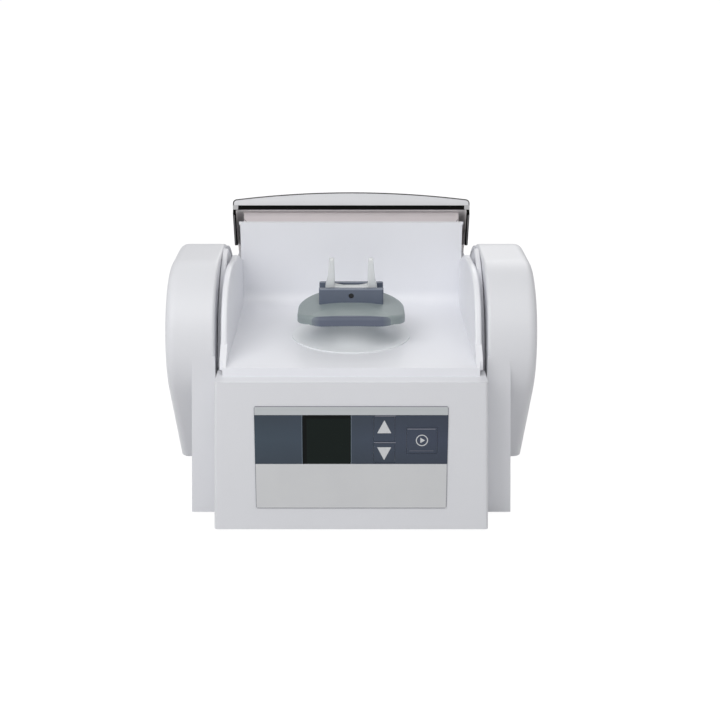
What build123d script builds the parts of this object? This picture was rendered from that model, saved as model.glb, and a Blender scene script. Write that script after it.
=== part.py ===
# Bench mixer for dental capsules, with a swing lid and a shaking arm.
# x runs across the machine, y runs back from the front face of the side housings and
# z runs up from the bottom edge of the housings. place() moves it all to the part's frame,
# which has its origin under the middle of the machine, on the table.
import os
from math import acos, asin, atan2, cos, degrees, radians, sin, sqrt, tan

from build123d import *

# Overall sizes
machine_width = 280.0
drum_depth = 163.0
drum_radius = 60.0
drum_center_z = 128.0
drum_foot_z = 20.0
drum_foot_length = 35.0
drum_edge_radius = 7.0
drum_lip_radius = 2.4
skirt_half_width = 124.4
skirt_draft = 2.2
wall = 3.0
foot_drop = 2.0

# Front block that carries the keypad
block_depth = 30.6
block_height = 117.0
block_half_width = 104.0
block_side_draft = 1.76
block_front_draft = 1.76
block_edge_radius = 2.5
ledge_opening_y = -11.0
joint_gap = 0.3

# Chamber
floor_z = 123.5
floor_front_y = -13.7
back_wall_y = 159.0
wall_top_drop = 13.8
liner_half_width = 95.6
liner_wall = 2.6
floor_fillet = 12.0
cheek_front = (3.0, 136.0)
cheek_shoulder = (24.0, 169.0)
cheek_top = (58.0, 180.5)
cheek_fall = (108.0, 177.0)
cheek_rear = (158.0, 163.0)
liner_front_y = 4.0
hood_clearance = 15.0
rear_cover_wall = 2.6
vent_count = 13
vent_pitch = 9.0
vent_width = 3.0
vent_low_z = 60.0
vent_high_z = 84.0

# Swing lid, a curved hood on two side plates
pivot_y = 110.0
pivot_z = 92.0
hood_radius = 131.0
hood_wall = 3.0
hood_corner_radius = 7.0
lid_half_width = 101.7
side_plate = 2.8
lid_open_angle = 59.7
lid_span = 101.0
lip_middle = 12.5
lip_corner = 5.8
lip_wall = 2.4
rim_drop = 5.6
rim_low_angle = 38.0
ring_width = 31.0
ring_margin = 9.0
flank_gap = 8.0
arm_from_angle = -38.0
arm_to_angle = -10.0
hub_radius = 13.0
seal_thickness = 1.6
seal_width = 3.4
seal_leg_end = 17.0
rim_rest_gap = 0.15
rear_rib_gap = 2.6
rear_rib_wall = 2.5
lip_corner_radius = 3.5
spoke_flare = 50.0
bush_collar = 0.5
cheek_gap = 0.4
cheek_edge_radius = 1.6
relief_width = 10.5
relief_slope = 14.0
relief_wall = 5.0
frame_leg_y = 30.0
frame_flange = 12.0
switch_y = 70.0
switch_z = 135.0
lid_switch_width = 6.5
lid_switch_length = 20.0
lid_switch_height = 10.0
stop_radius = 4.0
stop_distance = 62.0
side_frame_x = 102.6
side_frame_wall = 2.5
pivot_pin_radius = 4.0
bush_radius = 6.0
running_fit = 0.05

# Base
base_wall = 3.0
base_bottom_z = 1.0
base_rear_y = 190.0
edge_gap = 1.0
foot_radius = 8.0
screw_radius = 2.0
screw_head_radius = 3.6
screw_boss_radius = 5.0
screw_length = 14.0
boss_margin = 2.0
boss_top_z = 24.0
web_wall = 2.4
front_boss_x = 80.0
front_boss_y = -17.0
rear_boss_x = 72.0
rear_boss_y = 176.0
foot_plug_radius = 3.0
foot_x = 88.0
foot_front_y = 14.0
foot_rear_y = 168.0
intake_count = 6
intake_front_y = 44.0
intake_pitch = 9.0
intake_width = 3.5
intake_half_length = 30.0
power_half_width = 62.0
power_front_y = 104.0
power_rear_y = 166.0
power_board_z = 12.0
power_post_radius = 3.5
board_edge = 10.0
capacitor_radius = 11.0
capacitor_length = 36.0
transformer_side = 36.0
transformer_height = 30.0
relay_length = 20.0
relay_width = 14.0
relay_height = 14.0
fuse_radius = 3.0
fuse_length = 20.0

# Keypad label on the front face
label_width = 143.6
label_bottom = 17.5
label_top = 98.6
label_thickness = 0.5
band_bottom = 53.2
band_top = 91.9
window_left = -36.3
window_right = -0.2
key_gap = 0.2
key_travel = 0.4
arrow_left = 16.5
arrow_right = 32.5
up_bottom = 71.0
up_top = 90.6
down_bottom = 54.4
down_top = 69.8
start_left = 41.0
start_right = 64.0
start_bottom = 61.5
start_top = 82.5
board_thickness = 1.6
board_setback = 9.0
board_left = -62.0
board_right = 70.0
board_low = 44.0
board_high = 100.0
board_post_radius = 3.0
key_cap_depth = 1.0
key_stem_half = 2.5
key_stem_length = 4.2
display_depth = 5.4
post_inset = 5.0
key_stem_clearance = 0.35

# Shaker drive
shaft_y = 68.0
shaft_z = 80.0
shaft_radius = 4.0
motor_radius = 30.0
motor_left_x = -86.0
motor_wall = 1.5
left_post_x = -30.0
right_post_x = 38.0
post_wall = 4.0
post_half_depth = 26.0
bracket_z = 12.0
bracket_wall = 4.0
bracket_left_x = -84.0
bracket_right_x = 54.0
bearing_radius = 11.0
bearing_length = 7.0
wobble_angle = 5.0
wobble_ball_radius = 14.0
wobble_ring_radius = 18.0
wobble_ring_length = 10.0
weight_radius = 20.0
weight_length = 6.0
weight_x = 13.0
fan_radius = 21.0
fan_x = 26.0
fan_length = 9.0
fan_blades = 8
sleeve_radius = 7.0
rotor_radius = 18.0
stator_gap = 0.6
rear_bearing_radius = 8.0
ball_clearance = 0.3
isolator_radius = 6.0
spring_half_width = 10.0
spring_post_y = 14.0
spring_reach = 8.0
spring_leaf = 0.8

# Shaking arm and what it carries
arm_hub_radius = 23.0
arm_hub_length = 12.0
stem_half_width = 8.0
stem_half_depth = 7.0
tail_bottom_z = 48.0
tail_half_width = 4.0
tail_half_depth = 4.0
shield_top_z = 152.8
shield_thickness = 6.5
shield_radius_x = 170.0
shield_radius_y = 190.0
shield_half_width = 42.0
shield_half_depth = 38.0
shield_front_radius = 21.0
shield_front_hollow = 3.0
shield_rear_radius = 36.0
shield_edge_radius = 3.0
neck_half_width = 6.0
neck_half_depth = 5.0
neck_drop = 0.6
head_edge_radius = 2.0
head_screw_z = 158.0
head_screw_depth = 4.5
holder_screw_radius = 1.5
holder_screw_sink = 0.7
prong_tip_radius = 3.0
prong_cup_radius = 4.0
prong_cup_depth = 1.2
prong_cup_drop = 9.0
shield_center_y = 68.0
head_bottom_z = 146.0
head_top_z = 163.5
head_half_width = 25.4
head_front_y = 60.0
head_rear_y = 84.0
channel_depth = 6.0
channel_front_y = 65.0
channel_rear_y = 79.0
head_screw_radius = 2.1
prong_gap = 26.0
prong_wall = 5.4
prong_top_z = 187.0
holder_base = 7.0
holder_sag = 1.4
holder_half_depth = 5.5
seal_disc_radius = 47.0
seal_disc_thickness = 1.6
collar_low_radius = 38.0
collar_top_radius = 17.4
collar_height = 13.2
floor_hole_radius = 32.0
seal_disc_seat = 0.8

# Mains parts in the sides of the skirts
inlet_y = 171.0
side_parts_z = 19.0
inlet_flange_length = 50.0
inlet_flange_height = 22.5
inlet_screw_pitch = 40.0
flange_wall = 1.8
socket_length = 25.0
socket_height = 17.0
socket_depth = 15.0
socket_wall = 1.5
rocker_y = 174.0
rocker_length = 21.0
rocker_height = 15.0
rocker_tilt = 8.0
rocker_frame_rim = 2.0
rocker_clearance = 0.35
rocker_rise = 5.5
rocker_low = 3.0
rocker_pivot_depth = 2.0
switch_body_length = 23.4
switch_body_height = 17.4
switch_body_depth = 14.0

ear_half_width = machine_width / 2
rear_cover_radius = hood_radius - hood_clearance
rear_rib_radius = rear_cover_radius + rear_rib_gap
rim_top_radius = hood_radius - rim_drop
ring_inner_radius = hood_radius - ring_width
flank_radius = ring_inner_radius - flank_gap
back_wall_top_z = pivot_z + rear_cover_radius - wall_top_drop
housing_depth = pivot_y + flank_radius
hood_rear_y = pivot_y + hood_radius
middle_y = (hood_rear_y - block_depth) / 2
base_top_z = base_bottom_z + base_wall
ear_inner_x = side_frame_x - joint_gap
plate_out_x = lid_half_width
plate_in_x = lid_half_width - side_plate
cheek_inner_x = liner_half_width - liner_wall
cheek_outer_x = plate_in_x - bush_collar - cheek_gap
skirt_boss_x = skirt_half_width - wall - screw_boss_radius - boss_margin
skirt_bosses = (wall + screw_boss_radius + boss_margin,
                housing_depth - wall - screw_boss_radius - boss_margin)
key_pocket_depth = key_cap_depth + key_travel
shaft_side_gap = 0.4


def place(shape):
    # Moves a shape from the housing's frame to the part's frame.
    return Pos(0, -middle_y, foot_drop) * shape


def save(name, *solids):
    moved = [place(solid) for body in solids for solid in body.solids()]
    shape = moved[0] if len(moved) == 1 else Compound(children=moved)
    shape.label = name
    export_step(shape, "parts/" + name + ".step")


def block(x0, x1, y0, y1, z0, z1):
    return Pos((x0 + x1) / 2, (y0 + y1) / 2, (z0 + z1) / 2) * Box(x1 - x0, y1 - y0, z1 - z0)


def rod_x(x0, x1, y, z, radius):
    # Round bar along x.
    return Pos((x0 + x1) / 2, y, z) * Rot(0, 90, 0) * Cylinder(radius, x1 - x0)


def rod_z(x, y, z0, z1, radius):
    return Pos(x, y, (z0 + z1) / 2) * Cylinder(radius, z1 - z0)


def slab_x(face, x0, x1):
    # Pulls a face drawn in the y, z plane from x0 to x1.
    return Pos(x0, 0, 0) * extrude(Plane.YZ * face, amount=x1 - x0)


def mirrored(shape):
    return mirror(shape, about=Plane.YZ)


def boss_places(half_width, *depths):
    return [(side * half_width, y) for side in (-1, 1) for y in depths]


def polar(radius, angle):
    # A point of the lid's side view, from its pivot.
    return (pivot_y + radius * cos(radians(angle)), pivot_z + radius * sin(radians(angle)))


def sector(inner, outer, start, end):
    # Ring sector about the lid's pivot, as a face in the y, z plane.
    middle = (start + end) / 2
    edges = [
        ThreePointArc(polar(outer, start), polar(outer, middle), polar(outer, end)),
        Line(polar(outer, end), polar(inner, end)),
        ThreePointArc(polar(inner, end), polar(inner, middle), polar(inner, start)),
        Line(polar(inner, start), polar(outer, start)),
    ]
    return make_face(edges)


def drum_face(inset):
    # Side view of a drum: two round top corners and sides that slope in to a flat foot.
    radius = drum_radius - inset
    front = (drum_radius, drum_center_z)
    rear_y = drum_depth - drum_radius
    foot_y = (drum_depth - drum_foot_length) / 2
    foot_dy = foot_y - drum_radius
    foot_dz = drum_foot_z - drum_center_z
    toward_foot = degrees(atan2(foot_dz, foot_dy))
    tangent = toward_foot - degrees(acos(drum_radius / sqrt(foot_dy**2 + foot_dz**2)))
    slope = radians(tangent + 90)
    bottom_z = drum_foot_z + inset
    touch_y = front[0] + radius * cos(radians(tangent))
    touch_z = front[1] + radius * sin(radians(tangent))
    run = (bottom_z - touch_z) / sin(slope)
    low_y = touch_y + run * cos(slope)
    half_turn = (tangent + 360 + 90) / 2
    arc_middle_y = front[0] + radius * cos(radians(half_turn))
    arc_middle_z = front[1] + radius * sin(radians(half_turn))
    top_z = drum_center_z + radius

    def back(y):
        return drum_depth - y

    edges = [
        Line((back(low_y), bottom_z), (low_y, bottom_z)),
        Line((low_y, bottom_z), (touch_y, touch_z)),
        ThreePointArc((touch_y, touch_z), (arc_middle_y, arc_middle_z), (front[0], top_z)),
        Line((front[0], top_z), (rear_y, top_z)),
        ThreePointArc((rear_y, top_z), (back(arc_middle_y), arc_middle_z), (back(touch_y), touch_z)),
        Line((back(touch_y), touch_z), (back(low_y), bottom_z)),
    ]
    return make_face(edges)


def flank_face(inset, bottom):
    # Side view of a flank: upright ends under an arc about the lid's pivot.
    radius = flank_radius - inset
    rear_y = pivot_y + radius
    top_z = pivot_z + radius
    middle = radius * sqrt(0.5)
    return make_face([
        Line((inset, bottom), (rear_y, bottom)),
        Line((rear_y, bottom), (rear_y, pivot_z)),
        ThreePointArc((rear_y, pivot_z), (pivot_y + middle, pivot_z + middle), (pivot_y, top_z)),
        Line((pivot_y, top_z), (drum_radius, top_z)),
        Line((drum_radius, top_z), (drum_radius, drum_center_z)),
        Line((drum_radius, drum_center_z), (inset, drum_center_z)),
        Line((inset, drum_center_z), (inset, bottom)),
    ])


def skirt_solid(inset, bottom, inner_x):
    # Tapered flank behind and under a drum, from the slot beside the chamber to the drafted side.
    top_z = pivot_z + flank_radius
    lean = tan(radians(skirt_draft))
    low = skirt_half_width - inset - bottom * lean
    high = skirt_half_width - inset - top_z * lean
    outline = Polyline((inner_x, bottom), (low, bottom), (high, top_z), (inner_x, top_z), close=True)
    face = make_face(Plane.XZ * outline)
    taper = extrude(face, amount=-housing_depth)
    return taper & slab_x(flank_face(inset, bottom), inner_x, skirt_half_width + wall)


def boss(x, y, web_y0, web_y1):
    # Screw boss on the base plate with a web to the wall beside it.
    post = rod_z(x, y, base_top_z, boss_top_z, screw_boss_radius)
    return post + block(x - web_wall / 2, x + web_wall / 2, web_y0, web_y1, base_top_z, boss_top_z)


def boss_hole(x, y):
    return rod_z(x, y, base_top_z - 1, base_top_z + screw_length + 1, screw_radius)


def side_housing():
    drum = slab_x(drum_face(0), ear_inner_x, ear_half_width)
    outer_face = drum.faces().sort_by(Axis.X)[-1]
    round_edges = [edge for edge in outer_face.edges() if edge.center().Z > drum_foot_z + 1]
    drum = fillet(round_edges, drum_edge_radius)
    inner_face = drum.faces().sort_by(Axis.X)[0]
    lip_edges = [edge for edge in inner_face.edges() if edge.center().Z > drum_foot_z + 1]
    drum = fillet(lip_edges, drum_lip_radius)
    hollow = slab_x(drum_face(wall), ear_inner_x - 1, ear_half_width - wall)
    shell = drum + skirt_solid(0, 0, ear_inner_x)
    shell -= hollow
    shell -= skirt_solid(wall, -1, ear_inner_x - 1)
    web_length = screw_boss_radius + boss_margin + wall / 2
    for y in skirt_bosses:
        web_y = y - web_length if y < housing_depth / 2 else y
        shell += boss(skirt_boss_x, y, web_y, web_y + web_length)
        shell -= boss_hole(skirt_boss_x, y)
    return shell


def front_profile(inset, bottom):
    # Outline of the front block seen from the front, narrower at the top.
    lean = tan(radians(block_side_draft))
    low = block_half_width - inset - bottom * lean
    top_z = block_height - inset
    high = block_half_width - inset - top_z * lean
    return make_face(Plane.XZ * Polyline((-low, bottom), (low, bottom), (high, top_z),
                                         (-high, top_z), close=True))


def front_slice(inset, bottom):
    # The front profile pulled back from its leaning front face to the side housings.
    lean = tan(radians(block_front_draft))
    full = Pos(0, -block_depth - 1, 0) * extrude(front_profile(inset, bottom),
                                                 amount=-block_depth - wall)
    ahead = make_face(Polyline(
        (-block_depth - 2, -2),
        (-block_depth + inset - 2 * lean, -2),
        (-block_depth + inset + (block_height + 2) * lean, block_height + 2),
        (-block_depth - 2, block_height + 2), close=True))
    return full - slab_x(ahead, -block_half_width - 1, block_half_width + 1)


def face_y(z):
    # Depth of the front block's face at a height.
    return -block_depth + z * tan(radians(block_front_draft))


face_plane_z = (label_bottom + label_top) / 2
face_plane = Plane(
    origin=(0, face_y(face_plane_z), face_plane_z), x_dir=(1, 0, 0),
    z_dir=(0, -cos(radians(block_front_draft)), sin(radians(block_front_draft))))


def on_face(x0, x1, z0, z1, start, thickness, corner=0.0):
    # Flat piece on the front face; start and thickness count outward along its normal.
    tilt = cos(radians(block_front_draft))
    low = (z0 - face_plane_z) / tilt
    high = (z1 - face_plane_z) / tilt
    sketch = Pos((x0 + x1) / 2, (low + high) / 2) * (
        RectangleRounded(x1 - x0, high - low, corner) if corner else Rectangle(x1 - x0, high - low))
    return extrude(face_plane.offset(start) * sketch, amount=thickness)


keys = {
    "key_up": (arrow_left, arrow_right, up_bottom, up_top),
    "key_down": (arrow_left, arrow_right, down_bottom, down_top),
    "key_start": (start_left, start_right, start_bottom, start_top),
}


def round_on_face(x, z, start, thickness, radius):
    height = (z - face_plane_z) / cos(radians(block_front_draft))
    return extrude(face_plane.offset(start) * Pos(x, height) * Circle(radius), amount=thickness)


def key_solid(left, right, bottom, top):
    # Key top flush with the overlay, and the stem behind it that works the switch.
    cap = on_face(left + key_gap, right - key_gap, bottom + key_gap, top - key_gap,
                  label_thickness, -key_cap_depth, 1.0)
    x = (left + right) / 2
    z = (bottom + top) / 2
    half = key_stem_half
    stem = on_face(x - half, x + half, z - half, z + half,
                   label_thickness - key_cap_depth, -key_stem_length)
    return cap + stem


def front_cover():
    shell = front_slice(0, 0)
    corners = [edge for edge in shell.edges().filter_by(GeomType.LINE)
               if edge.center().Y < -block_depth / 2 and abs(edge.center().X) > front_boss_x
               and edge.length > block_height / 2]
    shell = fillet(corners, block_edge_radius)
    shell -= front_slice(wall, -1)
    shell -= block(-liner_half_width - joint_gap, liner_half_width + joint_gap, ledge_opening_y,
                   joint_gap, block_height - wall - 1, block_height + 1)
    shell &= block(-machine_width, machine_width, -block_depth - 1, -joint_gap, -1, block_height + 1)
    shell -= on_face(window_left, window_right, band_bottom, band_top, 1, -wall - 4)
    for left, right, bottom, top in keys.values():
        shell -= on_face(left, right, bottom, top, 1, -1 - key_pocket_depth + label_thickness)
        x = (left + right) / 2
        z = (bottom + top) / 2
        half = key_stem_half + key_stem_clearance
        shell -= on_face(x - half, x + half, z - half, z + half, 1, -wall - 4)
    for x, y in boss_places(front_boss_x, front_boss_y):
        shell += boss(x, y, face_y(0) + wall / 2, y)
        shell -= boss_hole(x, y)
    for x, z in board_posts():
        shell += round_on_face(x, z, -wall / 2, wall / 2 - board_setback, board_post_radius)
    return shell


def board_posts():
    return [(x, z) for x in (board_left + post_inset, board_right - post_inset)
            for z in (board_low + post_inset, board_high - post_inset)]


def keypad_overlay():
    sheet = on_face(-label_width / 2, label_width / 2, label_bottom, label_top, 0, label_thickness, 1.5)
    sheet -= on_face(window_left, window_right, band_bottom, band_top, -1, label_thickness + 2)
    for left, right, bottom, top in keys.values():
        sheet -= on_face(left, right, bottom, top, -1, label_thickness + 2, 1.2)
    return sheet


def cheek_face(low):
    # Side wall of the chamber, from the base to the low curved edge beside the open space.
    inner = rear_cover_radius - rear_cover_wall - joint_gap
    rear_low_y = pivot_y + sqrt(inner**2 - (pivot_z - low) ** 2)
    rear_high = degrees(asin((cheek_rear[1] - pivot_z) / inner))
    rear_top = polar(inner, rear_high)
    edges = [
        Line((liner_front_y, low), (liner_front_y, floor_z - liner_wall)),
        Line((liner_front_y, floor_z - liner_wall), (floor_front_y, floor_z - liner_wall)),
        Line((floor_front_y, floor_z - liner_wall), (floor_front_y, floor_z)),
        Line((floor_front_y, floor_z), cheek_front),
        Spline(cheek_front, cheek_shoulder, cheek_top, cheek_fall, cheek_rear,
               tangents=((0.35, 1.0), (1.0, -0.38))),
        Line(cheek_rear, rear_top),
        ThreePointArc(rear_top, polar(inner, 0), (rear_low_y, low)),
        Line((rear_low_y, low), (liner_front_y, low)),
    ]
    return make_face(edges)


def chamber_liner():
    half = liner_half_width
    floor = block(-half, half, floor_front_y, back_wall_y + liner_wall, floor_z - liner_wall, floor_z)
    step = block(-half, half, floor_front_y, floor_front_y + liner_wall, block_height, floor_z)
    back_half = (cheek_inner_x + liner_half_width) / 2
    back = block(-back_half, back_half, back_wall_y, back_wall_y + liner_wall,
                 floor_z - liner_wall, back_wall_top_z)
    cove_face = make_face([
        Line((back_wall_y - floor_fillet, floor_z), (back_wall_y, floor_z)),
        Line((back_wall_y, floor_z), (back_wall_y, floor_z + floor_fillet)),
        ThreePointArc(
            (back_wall_y, floor_z + floor_fillet),
            (back_wall_y - floor_fillet * (1 - cos(radians(45))),
             floor_z + floor_fillet * (1 - sin(radians(45)))),
            (back_wall_y - floor_fillet, floor_z))])
    cove = slab_x(cove_face, -half, half)
    liner = floor + step + back + cove
    cheek = slab_x(cheek_face(base_top_z), cheek_inner_x, cheek_outer_x)
    brow = cheek.edges().filter_by(GeomType.BSPLINE)
    cheek = fillet(brow, cheek_edge_radius)
    hood_corner_reach = hood_radius - hood_wall - hood_corner_radius + side_plate
    cheek -= slab_x(sector(hood_corner_reach, hood_radius, 150, 180), liner_half_width, cheek_outer_x + 1)
    liner += cheek
    liner += mirrored(cheek)
    liner -= rod_z(0, shaft_y, floor_z - liner_wall - 1, floor_z + 1, floor_hole_radius)
    liner -= rod_z(0, shaft_y, floor_z - seal_disc_seat, floor_z + 1, seal_disc_radius + 0.2)
    return liner


def arm_seal_disc():
    # Thin round disc that flares up into a collar round the arm. Its flare is an arc whose
    # centre stands over the start of the collar, so the disc runs into it without a crease.
    low = floor_z - seal_disc_seat
    top = low + seal_disc_thickness
    run = collar_low_radius - collar_top_radius
    flare_radius = (run ** 2 + collar_height ** 2) / (2 * collar_height)
    centre_z = top + flare_radius
    end_angle = 180 + degrees(atan2(flare_radius - collar_height, run))
    outer_flare = Plane.XZ * CenterArc((collar_low_radius, centre_z), flare_radius, 270, end_angle - 270)
    inner_flare = Plane.XZ * CenterArc(
        (collar_low_radius, centre_z), flare_radius + seal_disc_thickness, 270, end_angle - 270)
    rim = Line(outer_flare @ 1, inner_flare @ 1)
    foot = Plane.XZ * Polyline(
        (collar_low_radius, low), (seal_disc_radius, low), (seal_disc_radius, top),
        (collar_low_radius, top))
    section = make_face(Wire([*foot.edges(), outer_flare, rim, inner_flare]))
    return Pos(0, shaft_y, 0) * revolve(section, Axis.Z)


def rear_inside_y(z):
    # Depth of the middle of the rear cover's wall at a height.
    radius = rear_cover_radius - rear_cover_wall / 2
    return pivot_y + sqrt(radius**2 - (pivot_z - z) ** 2)


def rear_cover():
    start = -degrees(asin((pivot_z - base_top_z) / rear_cover_radius))
    end = degrees(asin((back_wall_top_z - pivot_z) / rear_cover_radius))
    shell = slab_x(sector(rear_cover_radius - rear_cover_wall, rear_cover_radius, start, end),
                   -liner_half_width, liner_half_width)
    shell &= block(-machine_width, machine_width, back_wall_y + liner_wall + joint_gap,
                   hood_rear_y, base_top_z, back_wall_top_z)
    for x, y in boss_places(rear_boss_x, rear_boss_y):
        shell += boss(x, y, y, rear_inside_y(boss_top_z)) & block(
            x - 20, x + 20, 0, rear_inside_y(base_top_z) + 1, base_top_z, boss_top_z)
        shell -= boss_hole(x, y)
    for i in range(vent_count):
        x = (i - (vent_count - 1) / 2) * vent_pitch
        shell -= block(x - vent_width / 2, x + vent_width / 2, pivot_y + rear_cover_radius / 2, hood_rear_y,
                       vent_low_z, vent_high_z)
    return shell


def base_plate():
    half_middle = liner_half_width
    wing = skirt_half_width - wall - edge_gap
    plate = block(-half_middle, half_middle, face_y(0) + wall + edge_gap + 1, base_rear_y,
                  base_bottom_z, base_top_z)
    for side in (-1, 1):
        x0 = half_middle - 5 if side > 0 else -wing
        plate += block(x0, x0 + wing - half_middle + 5, wall + edge_gap, base_rear_y,
                       base_bottom_z, base_top_z)
        x1 = ear_inner_x + edge_gap if side > 0 else -wing
        plate += block(x1, x1 + wing - ear_inner_x - edge_gap, base_rear_y - 5,
                       housing_depth - wall - edge_gap, base_bottom_z, base_top_z)
    for x, y in screw_places():
        plate -= rod_z(x, y, base_bottom_z - 1, base_top_z + 1, screw_radius)
    for x, y in foot_places():
        plate -= rod_z(x, y, base_bottom_z - 1, base_top_z + 1, foot_plug_radius)
    for i in range(intake_count):
        y = intake_front_y + i * intake_pitch
        plate -= block(-intake_half_length, intake_half_length, y, y + intake_width,
                       base_bottom_z - 1, base_top_z + 1)
    for x, y in power_posts():
        plate += rod_z(x, y, base_top_z, power_board_z, power_post_radius)
    return plate


def power_posts():
    inset = power_post_radius + 1
    return [(x, y) for x in (-power_half_width + inset, power_half_width - inset)
            for y in (power_front_y + inset, power_rear_y - inset)]


def screw_places():
    return (boss_places(skirt_boss_x, *skirt_bosses) + boss_places(front_boss_x, front_boss_y)
            + boss_places(rear_boss_x, rear_boss_y))


def foot_places():
    return boss_places(foot_x, foot_front_y, foot_rear_y)


def base_screws():
    screws = []
    for x, y in screw_places():
        head = rod_z(x, y, base_bottom_z - 1.6, base_bottom_z, screw_head_radius)
        shank = rod_z(x, y, base_bottom_z, base_top_z + screw_length, screw_radius - running_fit)
        slot = block(x - 2.4, x + 2.4, y - 0.4, y + 0.4, base_bottom_z - 2, base_bottom_z - 0.9)
        screws.append(head + shank - slot)
    return screws


def rubber_feet():
    feet = []
    for x, y in foot_places():
        pad = rod_z(x, y, -foot_drop, base_bottom_z, foot_radius)
        pad = fillet(pad.edges().filter_by(GeomType.CIRCLE).group_by(Axis.Z)[0], 0.8)
        plug = rod_z(x, y, base_bottom_z, base_top_z + 1.5, foot_plug_radius - running_fit)
        feet.append(pad + plug)
    return feet


def side_frame():
    # Plate that closes a drum on its inner side and carries the lid's pivot.
    x1 = side_frame_x + side_frame_wall
    plate = slab_x(drum_face(wall + joint_gap), side_frame_x, x1)
    plate += slab_x(flank_face(wall + joint_gap, base_top_z), side_frame_x, x1)
    plate += block(side_frame_x, side_frame_x + frame_flange, frame_leg_y, housing_depth - frame_leg_y,
                   base_top_z, base_top_z + side_frame_wall)
    return plate - rod_x(side_frame_x - 1, x1 + 1, pivot_y, pivot_z, pivot_pin_radius)


def lid_pivot():
    # Pin riveted in the side frame; the lid's bush turns on its free end.
    x1 = side_frame_x + side_frame_wall
    pin = rod_x(cheek_outer_x + joint_gap, x1, pivot_y, pivot_z, pivot_pin_radius - running_fit)
    head = rod_x(x1, x1 + side_frame_wall, pivot_y, pivot_z, 2 * pivot_pin_radius)
    return pin + head


def lid_bush():
    bush = rod_x(plate_in_x - bush_collar, plate_out_x + bush_collar, pivot_y, pivot_z, bush_radius)
    return bush - rod_x(plate_in_x - 2, plate_out_x + 2, pivot_y, pivot_z, pivot_pin_radius)


def spoke_points():
    # The arm between the hub and the ring of a side plate: two low points, then two high ones.
    reach = ring_inner_radius + side_plate
    return [polar(hub_radius, arm_from_angle - spoke_flare), polar(reach, arm_from_angle),
            polar(reach, arm_to_angle), polar(hub_radius, arm_to_angle + spoke_flare)]


def lid_stop():
    # Rubber stop on the side frame that the lid's arm rests on when it is open.
    low, high = spoke_points()[:2]
    length = sqrt((high[0] - low[0]) ** 2 + (high[1] - low[1]) ** 2)
    along_y = (high[0] - low[0]) / length
    along_z = (high[1] - low[1]) / length
    off = stop_radius + joint_gap
    y = low[0] + along_y * stop_distance + along_z * off
    z = low[1] + along_z * stop_distance - along_y * off
    return rod_x(plate_in_x, side_frame_x, y, z, stop_radius)


def lip_plane(offset):
    # Plane through the hood's open edge; its x runs across and its y away from the pivot.
    y, z = polar(0, lid_open_angle)
    turn = radians(lid_open_angle)
    return Plane(origin=(0, y, z), x_dir=(-1, 0, 0), z_dir=(0, sin(turn), -cos(turn))).offset(offset)


def rim_point(up):
    # Point on a side plate's rim, that far up from the ring's inner edge.
    top = polar(rim_top_radius, lid_open_angle)
    low = polar(ring_inner_radius, rim_low_angle)
    share = up / sqrt((top[0] - low[0]) ** 2 + (top[1] - low[1]) ** 2)
    return low[0] + (top[0] - low[0]) * share, low[1] + (top[1] - low[1]) * share


def lid_relief():
    # Relief slot in the side plates, from the rim in to the hood's wall.
    y, z = rim_point(seal_leg_end)
    slot = Pos(0, y, z) * Rot(-relief_slope, 0, 0) * block(
        -machine_width, machine_width, -hood_radius / 2, hood_radius, -relief_width, 0)
    reach = sector(ring_inner_radius - ring_margin, hood_radius - relief_wall, 0, lid_open_angle)
    return slot & slab_x(reach, -machine_width, machine_width)


def lid():
    end = lid_open_angle - lid_span
    inner = hood_radius - hood_wall
    hood = slab_x(sector(ring_inner_radius, hood_radius, end, lid_open_angle), -plate_out_x, plate_out_x)
    outside = hood.faces().filter_by(GeomType.CYLINDER).sort_by(SortBy.AREA)[-1]
    hood = fillet(outside.edges().filter_by(GeomType.CIRCLE), hood_corner_radius)
    core = slab_x(sector(ring_inner_radius - ring_margin, inner, end - 1, lid_open_angle + 1),
                  -plate_in_x, plate_in_x)
    inside = core.faces().filter_by(GeomType.CYLINDER).sort_by(SortBy.AREA)[-1]
    core = fillet(inside.edges().filter_by(GeomType.CIRCLE), hood_corner_radius - side_plate)
    hood -= core
    hood -= slab_x(make_face(Polyline(
        polar(ring_inner_radius, rim_low_angle), polar(rim_top_radius, lid_open_angle),
        polar(rim_top_radius, lid_open_angle + 2), polar(ring_inner_radius - ring_margin, lid_open_angle + 2),
        polar(ring_inner_radius - ring_margin, rim_low_angle), close=True)), -plate_out_x - 1, plate_out_x + 1)
    hood -= lid_relief()
    rib = slab_x(sector(rear_rib_radius, inner + hood_wall / 2, end,
                        end + degrees(rear_rib_wall / hood_radius)), -plate_in_x - 1, plate_in_x + 1)
    hood += rib
    for x0 in (plate_in_x, -plate_out_x):
        hood += slab_x(make_face(Polyline(*spoke_points(), close=True)), x0, x0 + side_plate)
        hood += rod_x(x0, x0 + side_plate, pivot_y, pivot_z, hub_radius)
        hood -= rod_x(x0 - 1, x0 + side_plate + 1, pivot_y, pivot_z, bush_radius)
    base = inner + hood_wall / 2
    corner = hood_radius + lip_corner
    lip = make_face([
        Line((-plate_out_x, corner), (-plate_out_x, base)),
        Line((-plate_out_x, base), (plate_out_x, base)),
        Line((plate_out_x, base), (plate_out_x, corner)),
        ThreePointArc((plate_out_x, corner), (0, hood_radius + lip_middle), (-plate_out_x, corner)),
    ])
    lip = fillet(lip.vertices().sort_by(Axis.Y)[-2:], lip_corner_radius)
    return hood + extrude(lip_plane(0) * lip, amount=lip_wall)


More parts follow.
